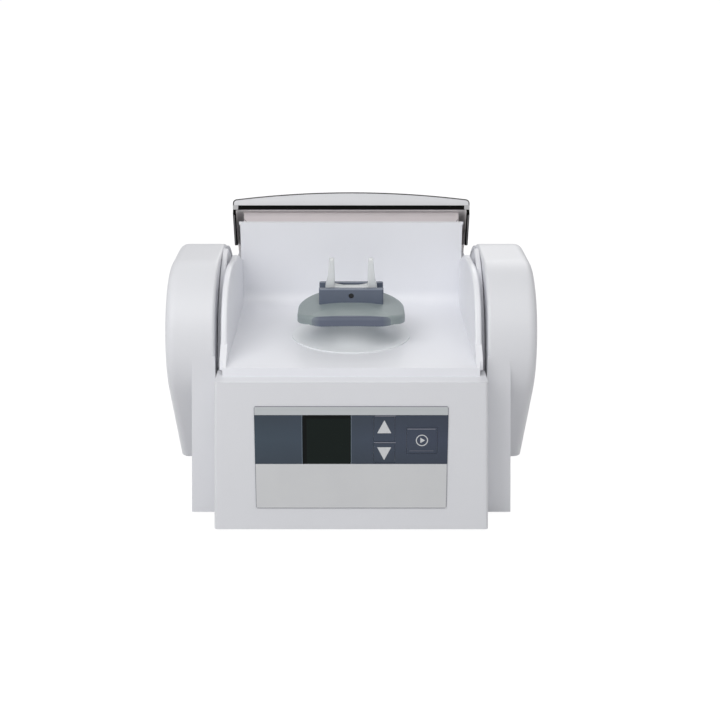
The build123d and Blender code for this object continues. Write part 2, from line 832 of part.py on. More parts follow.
def lid_seal():
    # Black strip on the rim: across the front edge and down both cut edges.
    inner = hood_radius - hood_wall / 2 - seal_width / 2
    half = plate_out_x - joint_gap
    front = extrude(lip_plane(0) * Pos(0, inner + seal_width / 2) * Rectangle(2 * half, seal_width),
                    amount=-seal_thickness)
    top = polar(rim_top_radius, lid_open_angle)
    low = rim_point(seal_leg_end)
    length = sqrt((top[0] - low[0]) ** 2 + (top[1] - low[1]) ** 2)
    out_y = -(top[1] - low[1]) / length * seal_thickness
    out_z = (top[0] - low[0]) / length * seal_thickness
    meet = polar(inner + seal_width / 2, lid_open_angle)
    turn = radians(lid_open_angle)
    face = make_face(Polyline(
        low, top, meet,
        (meet[0] - sin(turn) * seal_thickness, meet[1] + cos(turn) * seal_thickness),
        (top[0] + out_y, top[1] + out_z), (low[0] + out_y, low[1] + out_z), close=True))
    strip = slab_x(face, plate_in_x, half)
    return front + strip + mirrored(strip)


def keypad_key(name):
    return key_solid(*keys[name])


def display_window():
    return on_face(window_left + key_gap, window_right - key_gap, band_bottom + key_gap,
                   band_top - key_gap, label_thickness, -label_thickness - wall)


def display_module():
    return on_face(window_left + 1, window_right - 1, band_bottom + 1, band_top - 1,
                   -wall, -(board_setback - wall))


def control_board():
    board = on_face(board_left, board_right, board_low, board_high, -board_setback, -board_thickness, 2)
    return board


def key_switches():
    tip = label_thickness - key_cap_depth - key_stem_length - key_travel - running_fit
    switches = []
    for left, right, bottom, top in keys.values():
        x = (left + right) / 2
        z = (bottom + top) / 2
        half = key_stem_half + 0.5
        switches.append(on_face(x - half, x + half, z - half, z + half, tip, -board_setback - tip))
    return switches


def drive_bracket():
    low = bracket_z
    high = bracket_z + bracket_wall
    frame = block(bracket_left_x, bracket_right_x, shaft_y - post_half_depth,
                  shaft_y + post_half_depth, low, high)
    for x in (left_post_x, right_post_x):
        post = block(x, x + post_wall, shaft_y - post_half_depth, shaft_y + post_half_depth,
                     low, shaft_z + post_half_depth)
        post = fillet(post.edges().filter_by(Axis.X).group_by(Axis.Z)[-1], post_half_depth / 2)
        frame += post + rod_x(x, x + bearing_length, shaft_y, shaft_z, bearing_radius + post_wall)
    for x in (left_post_x, right_post_x):
        frame -= rod_x(x - 1, x + bearing_length + 1, shaft_y, shaft_z, bearing_radius)
    frame += block(-spring_half_width, spring_half_width, shaft_y + spring_post_y,
                   shaft_y + spring_post_y + bracket_wall, high, tail_bottom_z - 4)
    return frame


def isolator_places():
    return [(x, y) for x in (bracket_left_x + isolator_radius, bracket_right_x - isolator_radius)
            for y in (shaft_y - post_half_depth + isolator_radius,
                      shaft_y + post_half_depth - isolator_radius)]


def rubber_isolators():
    parts = []
    for x, y in isolator_places():
        body = rod_z(x, y, base_top_z, bracket_z, isolator_radius)
        middle = (base_top_z + bracket_z) / 2
        waist = rod_z(x, y, middle - 1.5, middle + 1.5, isolator_radius + 1)
        waist -= rod_z(x, y, middle - 2, middle + 2, isolator_radius - 1.5)
        parts.append(body - waist)
    return parts


def shaft_bearings():
    rings = []
    for x in (left_post_x, right_post_x):
        ring = rod_x(x, x + bearing_length, shaft_y, shaft_z, bearing_radius - running_fit)
        rings.append(ring - rod_x(x - 1, x + bearing_length + 1, shaft_y, shaft_z,
                                  shaft_radius + running_fit))
    x = motor_left_x + motor_wall
    ring = rod_x(x, x + bearing_length, shaft_y, shaft_z, rear_bearing_radius)
    rings.append(ring - rod_x(x - 1, x + bearing_length + 1, shaft_y, shaft_z,
                              shaft_radius + running_fit))
    return rings


def motor_can():
    can = rod_x(motor_left_x, left_post_x, shaft_y, shaft_z, motor_radius)
    can = fillet(can.edges().filter_by(GeomType.CIRCLE).sort_by(Axis.X)[0], 3)
    can -= rod_x(motor_left_x + motor_wall, left_post_x + 1, shaft_y, shaft_z,
                 motor_radius - motor_wall)
    seat = rod_x(motor_left_x + motor_wall, motor_left_x + motor_wall + bearing_length,
                 shaft_y, shaft_z, rear_bearing_radius + motor_wall)
    can += seat
    return can - rod_x(motor_left_x - 1, motor_left_x + motor_wall + bearing_length + 1,
                       shaft_y, shaft_z, rear_bearing_radius + running_fit)


def motor_stator():
    x0 = motor_left_x + motor_wall + bearing_length + 3
    x1 = left_post_x - 6
    ring = rod_x(x0, x1, shaft_y, shaft_z, motor_radius - motor_wall - running_fit)
    return ring - rod_x(x0 - 1, x1 + 1, shaft_y, shaft_z, rotor_radius + stator_gap)


def rotor_core():
    x0 = motor_left_x + motor_wall + bearing_length + 4
    x1 = left_post_x - 7
    core = rod_x(x0, x1, shaft_y, shaft_z, rotor_radius)
    return core - rod_x(x0 - 1, x1 + 1, shaft_y, shaft_z, shaft_radius)


def drive_shaft():
    return rod_x(motor_left_x + motor_wall, right_post_x + bearing_length + 3, shaft_y, shaft_z,
                 shaft_radius)


def tilted(shape):
    # Turns a shape from the shaft's line to the wobble sleeve's line.
    return Pos(0, shaft_y, shaft_z) * Rot(0, 0, wobble_angle) * Pos(0, -shaft_y, -shaft_z) * shape


def wobble_sleeve():
    half = weight_x - weight_length / 2 - 1
    sleeve = tilted(rod_x(-half, half, shaft_y, shaft_z, sleeve_radius))
    return sleeve - rod_x(-half * 2, half * 2, shaft_y, shaft_z, shaft_radius)


def ball_ring(ball_radius, round_radius):
    # Ring about the shaft's line between a ball face and a plain round face.
    half = wobble_ring_length / 2
    ball_edge = sqrt(ball_radius**2 - half**2)
    section = make_face([
        ThreePointArc((-half, ball_edge), (0, ball_radius), (half, ball_edge)),
        Line((half, ball_edge), (half, round_radius)),
        Line((half, round_radius), (-half, round_radius)),
        Line((-half, round_radius), (-half, ball_edge)),
    ])
    return Pos(0, shaft_y, shaft_z) * revolve(section, Axis.X)


def wobble_inner_ring():
    return tilted(ball_ring(wobble_ball_radius, sleeve_radius))


def wobble_outer_ring():
    return ball_ring(wobble_ball_radius + ball_clearance, wobble_ring_radius)


def counterweights():
    weights = []
    for side in (-1, 1):
        x0 = side * weight_x - weight_length / 2
        disc = rod_x(x0, x0 + weight_length, shaft_y, shaft_z, weight_radius)
        disc -= block(x0 - 1, x0 + weight_length + 1, shaft_y + side * weight_radius / 2 - weight_radius,
                      shaft_y + side * weight_radius / 2 + weight_radius,
                      shaft_z + sleeve_radius, shaft_z + weight_radius + 1)
        weights.append(disc - rod_x(x0 - 1, x0 + weight_length + 1, shaft_y, shaft_z, shaft_radius))
    return weights


def cooling_fan():
    x0 = fan_x - fan_length / 2
    fan = rod_x(x0, x0 + fan_length, shaft_y, shaft_z, sleeve_radius)
    blade_length = fan_radius - sleeve_radius + 1
    for i in range(fan_blades):
        blade = block(x0 + 0.5, x0 + fan_length - 0.5, -0.8, 0.8, sleeve_radius - 1,
                      sleeve_radius - 1 + blade_length)
        fan += Pos(0, shaft_y, shaft_z) * Rot(360 / fan_blades * i, 0, 0) * blade
    return fan - rod_x(x0 - 1, x0 + fan_length + 1, shaft_y, shaft_z, shaft_radius)


def shaking_arm():
    # Ring round the wobble bearing, tail below it and stem up through the chamber floor.
    half = arm_hub_length / 2
    arm = rod_x(-half, half, shaft_y, shaft_z, arm_hub_radius)
    arm += block(-tail_half_width, tail_half_width, shaft_y - tail_half_depth,
                 shaft_y + tail_half_depth, tail_bottom_z, shaft_z)
    stem = block(-stem_half_width, stem_half_width, shaft_y - stem_half_depth,
                 shaft_y + stem_half_depth, shaft_z, shield_top_z)
    arm += stem & shield_dome(shield_thickness)
    arm += block(-neck_half_width, neck_half_width, shaft_y - neck_half_depth,
                 shaft_y + neck_half_depth, floor_z, shield_top_z - neck_drop)
    return arm - rod_x(-stem_half_width - 1, stem_half_width + 1, shaft_y, shaft_z, wobble_ring_radius)


def anti_rotation_spring():
    # Fork of two flat leaves that lets the arm's tail swing across but not turn.
    leaf = tail_half_depth + shaft_side_gap
    back_y = shaft_y + spring_post_y
    top_z = tail_bottom_z + spring_reach
    low_z = tail_bottom_z - spring_reach
    w = spring_half_width
    fork = block(-w, w, shaft_y + leaf, shaft_y + leaf + spring_leaf, low_z, top_z)
    fork += block(-w, w, shaft_y - leaf - spring_leaf, shaft_y - leaf, low_z, top_z)
    return fork + block(-w, w, shaft_y - leaf - spring_leaf, back_y, low_z, low_z + spring_leaf)


def shield_dome(drop):
    # Gently domed body whose top lies that far below the top of the shield.
    top = shield_top_z - drop
    reach = 2 * machine_width
    across = Pos(0, shield_center_y, top - shield_radius_x) * Rot(90, 0, 0) * Cylinder(
        shield_radius_x, reach)
    along = Pos(0, shield_center_y, top - shield_radius_y) * Rot(0, 90, 0) * Cylinder(
        shield_radius_y, reach)
    return across & along


def arm_shield():
    half = shield_half_width
    front_y = shield_center_y - shield_half_depth - shield_front_hollow
    rear_y = shield_center_y + shield_half_depth - shield_front_hollow / 2
    outline = make_face([
        ThreePointArc((-half, front_y), (0, front_y + shield_front_hollow), (half, front_y)),
        Line((half, front_y), (half, rear_y)),
        Line((half, rear_y), (-half, rear_y)),
        Line((-half, rear_y), (-half, front_y)),
    ])
    outline = fillet(outline.vertices().group_by(Axis.Y)[0], shield_front_radius)
    outline = fillet(outline.vertices().group_by(Axis.Y)[-1], shield_rear_radius)
    solid = Pos(0, 0, floor_z) * extrude(outline, amount=shield_top_z - floor_z + 1)
    solid &= shield_dome(0)
    rim = solid.edges().filter_by(lambda edge: edge.center().Z > floor_z + 1)
    solid = fillet(rim, shield_edge_radius)
    solid -= shield_dome(shield_thickness)
    gap = running_fit
    return solid - block(-neck_half_width - gap, neck_half_width + gap,
                         shaft_y - neck_half_depth - gap, shaft_y + neck_half_depth + gap,
                         floor_z, head_top_z)


def holder_head():
    head = block(-head_half_width, head_half_width, head_front_y, head_rear_y, head_bottom_z, head_top_z)
    head = fillet(head.edges().filter_by(Axis.Z), head_edge_radius)
    head -= shield_dome(0)
    head -= block(-head_half_width - 1, head_half_width + 1, channel_front_y, channel_rear_y,
                  head_top_z - channel_depth, head_top_z + 1)
    front_hole = Pos(0, head_front_y, head_screw_z) * Rot(90, 0, 0) * Cylinder(
        head_screw_radius, 2 * head_screw_depth)
    channel_middle = (channel_front_y + channel_rear_y) / 2
    low_hole = rod_z(0, channel_middle, shield_top_z + 1, head_top_z, holder_screw_radius)
    return head - front_hole - low_hole


def head_screw():
    y0 = head_front_y + 1
    y1 = head_front_y + head_screw_depth
    return Pos(0, (y0 + y1) / 2, head_screw_z) * Rot(90, 0, 0) * Cylinder(
        head_screw_radius - running_fit, y1 - y0)


def capsule_holder():
    low = head_top_z - channel_depth
    y = (channel_front_y + channel_rear_y) / 2
    inner = prong_gap / 2
    outer = inner + prong_wall
    holder = block(-outer - 2, outer + 2, y - holder_half_depth, y + holder_half_depth,
                   low, low + holder_base)
    for side in (-1, 1):
        x0 = inner if side > 0 else -outer
        prong = block(x0, x0 + prong_wall, y - holder_half_depth, y + holder_half_depth,
                      low, prong_top_z)
        prong = fillet(prong.edges().filter_by(Axis.X).group_by(Axis.Z)[-1], prong_tip_radius)
        holder += prong
        groove_x = side * inner
        holder -= Pos(groove_x, y, prong_top_z - prong_cup_drop) * Rot(0, 90, 0) * Cylinder(
            prong_cup_radius, 2 * prong_cup_depth)
    sag_radius = (inner ** 2 + holder_sag ** 2) / (2 * holder_sag)
    sag_z = low + holder_base - holder_sag + sag_radius
    hollow = Pos(0, y, sag_z) * Rot(90, 0, 0) * Cylinder(sag_radius, 4 * holder_half_depth)
    holder -= hollow & block(-inner, inner, y - 2 * holder_half_depth, y + 2 * holder_half_depth,
                             low, low + holder_base + 1)
    holder -= rod_z(0, y, low - 1, low + holder_base + 1, holder_screw_radius)
    return holder


def holder_screw():
    y = (channel_front_y + channel_rear_y) / 2
    top = head_top_z - channel_depth + holder_base - holder_sag - holder_screw_sink
    return rod_z(0, y, shield_top_z + 1.5, top, holder_screw_radius - running_fit)


def power_board():
    return block(-power_half_width, power_half_width, power_front_y, power_rear_y,
                 power_board_z, power_board_z + board_thickness)


def board_components():
    top = power_board_z + board_thickness
    y = (power_front_y + power_rear_y) / 2
    far_x = power_half_width - board_edge
    back_y = power_rear_y - board_edge
    front_y = power_front_y + board_edge
    capacitor = rod_x(-far_x, capacitor_length - far_x, back_y - capacitor_radius,
                      top + capacitor_radius, capacitor_radius)
    transformer = block(far_x - transformer_side, far_x, y - transformer_side / 2,
                        y + transformer_side / 2, top, top + transformer_height)
    relay = block(-far_x, relay_length - far_x, front_y, front_y + relay_width, top,
                  top + relay_height)
    fuse = rod_x(-fuse_length, 0, front_y + fuse_radius, top + fuse_radius, fuse_radius)
    return [capacitor, transformer, relay, fuse]


def side_plane(side, y, z):
    # Plane on the drafted outer face of a skirt, with its y pointing up.
    lean = radians(skirt_draft)
    x = skirt_half_width - z * tan(lean)
    return Plane(origin=(side * x, y, z), x_dir=(0, side, 0), z_dir=(side * cos(lean), 0, sin(lean)))


def on_side(side, y, z, length, height, start, thickness, corner=0.0):
    sketch = RectangleRounded(length, height, corner) if corner else Rectangle(length, height)
    return extrude(side_plane(side, y, z).offset(start) * sketch, amount=thickness)


def inlet_hole():
    return on_side(-1, inlet_y, side_parts_z, socket_length + 2 * socket_wall + 2 * running_fit,
                   socket_height + 2 * socket_wall + 2 * running_fit, 2, -wall - 6, socket_wall)


def switch_hole():
    return on_side(1, rocker_y, side_parts_z, switch_body_length + 2 * running_fit,
                   switch_body_height + 2 * running_fit, 2, -wall - 6)


def mains_inlet():
    flange = on_side(-1, inlet_y, side_parts_z, inlet_flange_length, inlet_flange_height,
                     0, flange_wall, 3)
    body = on_side(-1, inlet_y, side_parts_z, socket_length + 2 * socket_wall,
                   socket_height + 2 * socket_wall, 0, -socket_depth - socket_wall, socket_wall)
    cavity = on_side(-1, inlet_y, side_parts_z, socket_length, socket_height, flange_wall + 1,
                     -socket_depth - flange_wall - 1, 3)
    return flange + body - cavity


def inlet_pins():
    pins = []
    for across, up in ((-7.0, -2.0), (0.0, 2.5), (7.0, -2.0)):
        plane = side_plane(-1, inlet_y, side_parts_z).offset(-socket_depth)
        sketch = Pos(across, up) * Rectangle(2.0, 4.0)
        pins.append(extrude(plane * sketch, amount=socket_depth - 3))
    return pins


def inlet_screws():
    screws = []
    for across in (-1, 1):
        plane = side_plane(-1, inlet_y, side_parts_z).offset(flange_wall)
        spot = Pos(across * inlet_screw_pitch / 2, 0) * Circle(2.6)
        screws.append(extrude(plane * spot, amount=1.4))
    return screws


def switch_frame():
    flange = on_side(1, rocker_y, side_parts_z, rocker_length + 2 * rocker_frame_rim + 2,
                     rocker_height + 2 * rocker_frame_rim + 2, 0, flange_wall, 1.5)
    body = on_side(1, rocker_y, side_parts_z, switch_body_length, switch_body_height,
                   0, -switch_body_depth)
    cavity = on_side(1, rocker_y, side_parts_z, rocker_length, rocker_height, flange_wall + 1,
                     -switch_body_depth - flange_wall)
    return flange + body - cavity


def power_rocker():
    # Rocker tilted to its off position; it turns about an upright axis inside the frame.
    plane = side_plane(1, rocker_y, side_parts_z)
    swing = rocker_length / 2 - rocker_clearance
    height = rocker_height - 2 * rocker_clearance
    round_body = Circle(swing)
    top = make_face(Polyline((-swing, -swing), (swing, -swing), (swing, rocker_rise),
                             (0, rocker_rise / 3), (-swing, rocker_rise), close=True))
    low_cut = Pos(0, -swing) * Rectangle(4 * swing, 2 * (swing - rocker_low))
    section = Rot(0, 0, rocker_tilt) * (round_body & top - low_cut)
    flat = Plane(origin=plane.origin - plane.z_dir * rocker_pivot_depth - plane.y_dir * (height / 2),
                 x_dir=plane.x_dir, z_dir=-plane.y_dir)
    return extrude(flat * section, amount=-height)


def left_housing():
    return mirrored(side_housing()) - inlet_hole()


def right_housing():
    return side_housing() - switch_hole()


def lid_switch():
    x = side_frame_x + side_frame_wall
    return block(x, x + lid_switch_width, switch_y - lid_switch_length / 2,
                 switch_y + lid_switch_length / 2, switch_z - lid_switch_height / 2,
                 switch_z + lid_switch_height / 2)


os.makedirs("parts", exist_ok=True)

save("base_plate", base_plate())
save("rubber_feet", *rubber_feet())
save("base_screws", *base_screws())
save("front_cover", front_cover())
save("left_housing", left_housing())
save("right_housing", right_housing())
save("chamber_liner", chamber_liner())
save("arm_seal_disc", arm_seal_disc())
save("rear_cover", rear_cover())
save("right_side_frame", side_frame())
save("left_side_frame", mirrored(side_frame()))
save("right_lid_pivot", lid_pivot())
save("left_lid_pivot", mirrored(lid_pivot()))
save("lid_stops", lid_stop(), mirrored(lid_stop()))
save("lid_switch", lid_switch())
save("lid", lid())
save("lid_seal", lid_seal())
save("right_lid_bush", lid_bush())
save("left_lid_bush", mirrored(lid_bush()))
save("keypad_overlay", keypad_overlay())
save("display_window", display_window())
save("display_module", display_module())
save("control_board", control_board())
save("key_switches", *key_switches())
for key_name in keys:
    save(key_name, keypad_key(key_name))
save("drive_bracket", drive_bracket())
save("rubber_isolators", *rubber_isolators())
save("shaft_bearings", *shaft_bearings())
save("motor_can", motor_can())
save("motor_stator", motor_stator())
save("rotor_core", rotor_core())
save("drive_shaft", drive_shaft())
save("wobble_sleeve", wobble_sleeve())
save("wobble_inner_ring", wobble_inner_ring())
save("wobble_outer_ring", wobble_outer_ring())
save("counterweights", *counterweights())
save("cooling_fan", cooling_fan())
save("shaking_arm", shaking_arm())
save("anti_rotation_spring", anti_rotation_spring())
save("arm_shield", arm_shield())
save("holder_head", holder_head())
save("head_screw", head_screw())
save("capsule_holder", capsule_holder())
save("holder_screw", holder_screw())
save("power_board", power_board())
save("board_components", *board_components())
save("mains_inlet", mains_inlet())
save("inlet_pins", *inlet_pins())
save("inlet_screws", *inlet_screws())
save("power_switch_frame", switch_frame())
save("power_rocker", power_rocker())
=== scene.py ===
import math

import bmesh
import bpy
from mathutils import Matrix, Vector


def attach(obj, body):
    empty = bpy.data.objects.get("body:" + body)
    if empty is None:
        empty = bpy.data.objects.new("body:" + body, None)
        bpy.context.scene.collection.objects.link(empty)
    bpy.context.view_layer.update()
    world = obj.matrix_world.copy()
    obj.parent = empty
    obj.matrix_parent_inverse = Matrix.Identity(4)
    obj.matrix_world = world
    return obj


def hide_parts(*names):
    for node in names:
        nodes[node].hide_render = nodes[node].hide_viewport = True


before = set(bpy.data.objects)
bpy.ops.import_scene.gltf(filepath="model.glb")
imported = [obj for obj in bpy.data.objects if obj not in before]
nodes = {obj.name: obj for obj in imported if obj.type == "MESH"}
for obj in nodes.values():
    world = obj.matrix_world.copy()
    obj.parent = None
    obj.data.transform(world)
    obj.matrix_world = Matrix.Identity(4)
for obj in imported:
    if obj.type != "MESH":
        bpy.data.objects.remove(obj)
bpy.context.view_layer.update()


# Camera
# It stands in front of the machine at head height and looks down on it through a long lens, which
# is shifted a little to the right.
CAMERA_PLACE = (0.0, -1.0292, 0.440)
CAMERA_LOOKS_DOWN = 18.7
camera_data = bpy.data.cameras.new("camera")
camera_data.lens = 65.0
camera_data.sensor_width = 36.0
camera_data.shift_x = 0.0122
camera_data.clip_end = 50.0
camera = bpy.data.objects.new("camera", camera_data)
bpy.context.scene.collection.objects.link(camera)
camera.location = CAMERA_PLACE
camera.rotation_euler = (math.radians(90.0 - CAMERA_LOOKS_DOWN), 0.0, 0.0)
bpy.context.scene.camera = camera


# Base plate, feet and screws
# A flat pan of grey coated sheet steel closes the machine from below. Four black rubber feet plug
# into it, and bright cross-head screws hold the covers to it.
class Level:
    """A number that varies over a surface, read from a shader socket."""

    def __init__(self, tree, socket):
        self.tree = tree
        self.socket = socket

    def joined(self, operation, first, second):
        node = self.tree.nodes.new("ShaderNodeMath")
        node.operation = operation
        for place, item in zip(node.inputs, (first, second)):
            if isinstance(item, Level):
                self.tree.links.new(item.socket, place)
            else:
                place.default_value = item
        return Level(self.tree, node.outputs[0])

    def __add__(self, other):
        return self.joined("ADD", self, other)

    def __radd__(self, other):
        return self.joined("ADD", other, self)

    def __sub__(self, other):
        return self.joined("SUBTRACT", self, other)

    def __rsub__(self, other):
        return self.joined("SUBTRACT", other, self)

    def __mul__(self, other):
        return self.joined("MULTIPLY", self, other)

    def __rmul__(self, other):
        return self.joined("MULTIPLY", other, self)

    def __gt__(self, other):
        return self.joined("GREATER_THAN", self, other)

    def __lt__(self, other):
        return self.joined("LESS_THAN", self, other)

    def __or__(self, other):
        return self.joined("MAXIMUM", self, other)

    def size(self):
        return self.joined("ABSOLUTE", self, 0.0)


class Nodes:
    """The shader nodes of one finish or of the room."""

    def __init__(self, tree):
        self.tree = tree

    def node(self, kind, settings=None, **sockets):
        # A socket goes by its label, with _ for each space, or by i and its number.
        node = self.tree.nodes.new(kind)
        for key, value in (settings or {}).items():
            setattr(node, key, value)
        for key, value in sockets.items():
            label = int(key[1:]) if key[1:].isdigit() else key.replace("_", " ")
            self.plug(node.inputs[label], value)
        return node

    def plug(self, socket, value):
        if isinstance(value, Level):
            value = value.socket
        if isinstance(value, bpy.types.NodeSocket):
            self.tree.links.new(value, socket)
        elif socket.type == "RGBA" and len(value) == 3:
            socket.default_value = (*value, 1.0)
        else:
            socket.default_value = value

    def level(self, output):
        return Level(self.tree, output)


class Finish(Nodes):
    """A material under construction, with the object's own coordinates at hand."""

    def __init__(self, name, **constants):
        self.material = bpy.data.materials.new(name)
        self.material.use_nodes = True
        super().__init__(self.material.node_tree)
        self.shader = self.tree.nodes["Principled BSDF"]
        self.place = self.node("ShaderNodeTexCoord").outputs["Object"]
        self.set(**constants)

    def set(self, **values):
        for key, value in values.items():
            self.plug(self.shader.inputs[key.replace("_", " ")], value)

    def where(self):
        parts = self.node("ShaderNodeSeparateXYZ", Vector=self.place).outputs
        return [self.level(part) for part in parts]

    def noise(self, scale, detail=2.0, stretch=None):
        vector = self.place
        if stretch:
            vector = self.node("ShaderNodeMapping", Vector=vector, Scale=stretch).outputs[0]
        speckle = self.node("ShaderNodeTexNoise", Vector=vector, Scale=scale, Detail=detail)
        return self.level(speckle.outputs["Fac"])

    def blend(self, share, first, second):
        mix = self.node("ShaderNodeMix", {"data_type": "RGBA"}, i0=share, i6=first, i7=second)
        return mix.outputs[2]

    def mottle(self, deep, pale, scale, detail=3.0):
        # A colour that wanders between two shades, in patches of that scale.
        return self.blend(self.noise(scale, detail), deep, pale)

    def gloss(self, smoothest, spread, scale):
        # Roughness that wanders upwards from its smoothest, in specks of that scale.
        self.set(Roughness=smoothest + spread * self.noise(scale))

    def bump(self, height, depth, strength):
        relief = self.node("ShaderNodeBump", Height=height, Distance=depth, Strength=strength)
        self.set(Normal=relief.outputs[0])

    def grain(self, scale, depth, strength):
        self.bump(self.noise(scale), depth, strength)


def shade(red, green, blue):
    # A colour as the eye names it, 0 to 255, turned to the amount of light it sends back.
    return tuple(((part / 255 + 0.055) / 1.055) ** 2.4 if part > 10 else part / 3295
                 for part in (red, green, blue))


def dress(finish, *names):
    # Gives a finish to pieces that come from the solid model.
    for name in names:
        slots = nodes[name].data.materials
        slots.clear()
        slots.append(finish.material)


def coated_steel():
    coat = Finish("grey_coated_steel", IOR=1.5)
    coat.set(Base_Color=coat.mottle(shade(150, 152, 155), shade(166, 168, 171), scale=90.0,
                                    detail=4.0))
    coat.gloss(0.42, spread=0.16, scale=420.0)
    coat.grain(scale=1500.0, depth=0.0002, strength=0.5)
    return coat


def black_rubber():
    rubber = Finish("black_rubber", Specular_IOR_Level=0.35)
    rubber.set(Base_Color=rubber.mottle(shade(28, 28, 30), shade(48, 48, 50), scale=140.0))
    rubber.gloss(0.62, spread=0.2, scale=600.0)
    rubber.grain(scale=2400.0, depth=0.0001, strength=0.6)
    return rubber


def bright_steel():
    steel = Finish("bright_steel", Metallic=1.0)
    lines = steel.noise(260.0, detail=3.0, stretch=(1.0, 12.0, 1.0))
    steel.set(Base_Color=steel.blend(lines, shade(176, 177, 180), shade(214, 215, 217)),
              Roughness=0.2 + 0.18 * lines)
    steel.bump(lines, depth=0.00005, strength=0.4)
    return steel


rubber_finish = black_rubber()
steel_finish = bright_steel()
dress(coated_steel(), "base_plate")
dress(rubber_finish, "rubber_feet")
dress(steel_finish, "base_screws")


# Outer covers
# Two side housings with their round drums, the front cover and the rear cover are moulded in
# white plastic, with a very fine texture and a soft gloss. Screws from below hold them.
def moulded_white(name, pale, deep, smoothest):
    plastic = Finish(name, IOR=1.46)
    grain = plastic.noise(900.0)
    plastic.set(Base_Color=plastic.mottle(deep, pale, scale=7.0, detail=2.0),
                Roughness=smoothest + 0.1 * grain)
    plastic.bump(grain, depth=0.00008, strength=0.35)
    return plastic


cover_white = moulded_white("cover_white", shade(231, 232, 236), shade(226, 227, 231), 0.32)
dress(cover_white, "left_housing", "right_housing", "front_cover", "rear_cover")


# Mixing chamber
# The tray that lines the chamber is one white moulding, wiped clean between mixes. A softer
# white disc closes its floor round the arm and flares up to a collar. Both are painted whiter
# than the covers, as painted light on the chamber floor and in the shield's shadow.
chamber_white = moulded_white("chamber_white", shade(243, 244, 248), shade(238, 239, 244), 0.3)
disc_white = moulded_white("disc_white", shade(247, 249, 251), shade(243, 246, 249), 0.42)
dress(chamber_white, "chamber_liner")
dress(disc_white, "arm_seal_disc")


# Rails beside the chamber
# A low moulded rail on each drum closes the slot beside the chamber, below the path of the lid's
# side plates. Its rounded crown shows as a soft ridge.
PIVOT = Vector((0.0, 0.0048, 0.094))
RAIL_INNER, RAIL_OUTER = 0.09825, 0.1021
RAIL_TOP, RAIL_HEIGHT = 0.0993, 0.0043
RAIL_ROUNDING = 0.0009
RAIL_FROM, RAIL_TO = math.radians(178.0), math.radians(102.0)
RAIL_STEPS = 46
SAME_PLACE = 0.00005
SMOOTH_UP_TO = math.radians(35.0)


def clean_start(add, name, **settings):
    # A new primitive with the name of the piece that it becomes, alone in the selection and
    # opened for shaping.
    bpy.ops.object.select_all(action="DESELECT")
    add(**settings)
    piece = bpy.context.object
    piece.name = name
    bpy.ops.object.mode_set(mode="EDIT")
    bpy.ops.mesh.select_all(action="SELECT")
    return piece


def choose(piece, keep, kind="VERT"):
    # In edit mode, selects the corners, edges or faces of a piece that a test picks.
    mesh = bmesh.from_edit_mesh(piece.data)
    bpy.context.tool_settings.mesh_select_mode = (kind == "VERT", kind == "EDGE", kind == "FACE")
    for group in (mesh.verts, mesh.edges, mesh.faces):
        for item in group:
            item.select_set(False)
    for item in {"VERT": mesh.verts, "EDGE": mesh.edges, "FACE": mesh.faces}[kind]:
        if keep(item):
            item.select_set(True)
    mesh.select_flush_mode()
    bmesh.update_edit_mesh(piece.data)


def extrude(*way):
    bpy.ops.mesh.extrude_region_move(TRANSFORM_OT_translate={"value": way})


def point_outwards():
    # Turns the faces of the piece being shaped outwards, and leaves edit mode.
    bpy.ops.mesh.select_all(action="SELECT")
    bpy.ops.mesh.normals_make_consistent()
    bpy.ops.object.mode_set(mode="OBJECT")


def mirror_over(piece):
    # The other half of a piece that was drawn on one side only.
    bpy.ops.object.mode_set(mode="OBJECT")
    mirror = piece.modifiers.new("mirror", "MIRROR")
    mirror.use_clip = True
    mirror.merge_threshold = SAME_PLACE
    bpy.ops.object.modifier_apply(modifier="mirror")
    bpy.ops.object.mode_set(mode="EDIT")
    point_outwards()


def lay(piece, place, turn):
    # Takes a piece that was drawn flat round the origin to its place on the machine.
    bpy.ops.object.mode_set(mode="OBJECT")
    piece.data.transform(Matrix.Translation(place) @ turn)


def finish_piece(piece, body, finish):
    # Rounds a piece's shading, gives it its finish and joins it to its body.
    bpy.ops.object.select_all(action="DESELECT")
    piece.select_set(True)
    bpy.context.view_layer.objects.active = piece
    bpy.ops.object.shade_smooth_by_angle(angle=SMOOTH_UP_TO)
    piece.data.materials.clear()
    piece.data.materials.append(finish.material)
    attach(piece, body)


def drum_rails():
    # The rail's section is swept round the pivot, then copied to the other drum.
    rail = clean_start(bpy.ops.mesh.primitive_plane_add, "drum_rails", size=1.0)
    bpy.ops.transform.resize(value=(RAIL_OUTER - RAIL_INNER, RAIL_HEIGHT, 1.0))
    bpy.ops.mesh.bevel(offset=RAIL_ROUNDING, segments=4, affect="VERTICES")
    bpy.ops.mesh.select_all(action="SELECT")
    middle = (RAIL_OUTER + RAIL_INNER) / 2
    bpy.ops.transform.translate(value=(middle, RAIL_TOP - RAIL_HEIGHT / 2, 0.0))
    bpy.ops.mesh.spin(steps=RAIL_STEPS, angle=RAIL_FROM - RAIL_TO, center=(0.0, 0.0, 0.0),
                      axis=(1.0, 0.0, 0.0))
    mirror_over(rail)
    lay(rail, PIVOT, Matrix.Rotation(RAIL_FROM, 4, "X"))
    finish_piece(rail, "base", cover_white)


drum_rails()


# Lid
# One white moulding, curved round two pins beside the chamber, with a rolled lip to lift it by.
# Its inside is painted much whiter than its outside, as painted light on the shaded inner face of
# the hood.
VISOR_MIDDLE = 0.129615


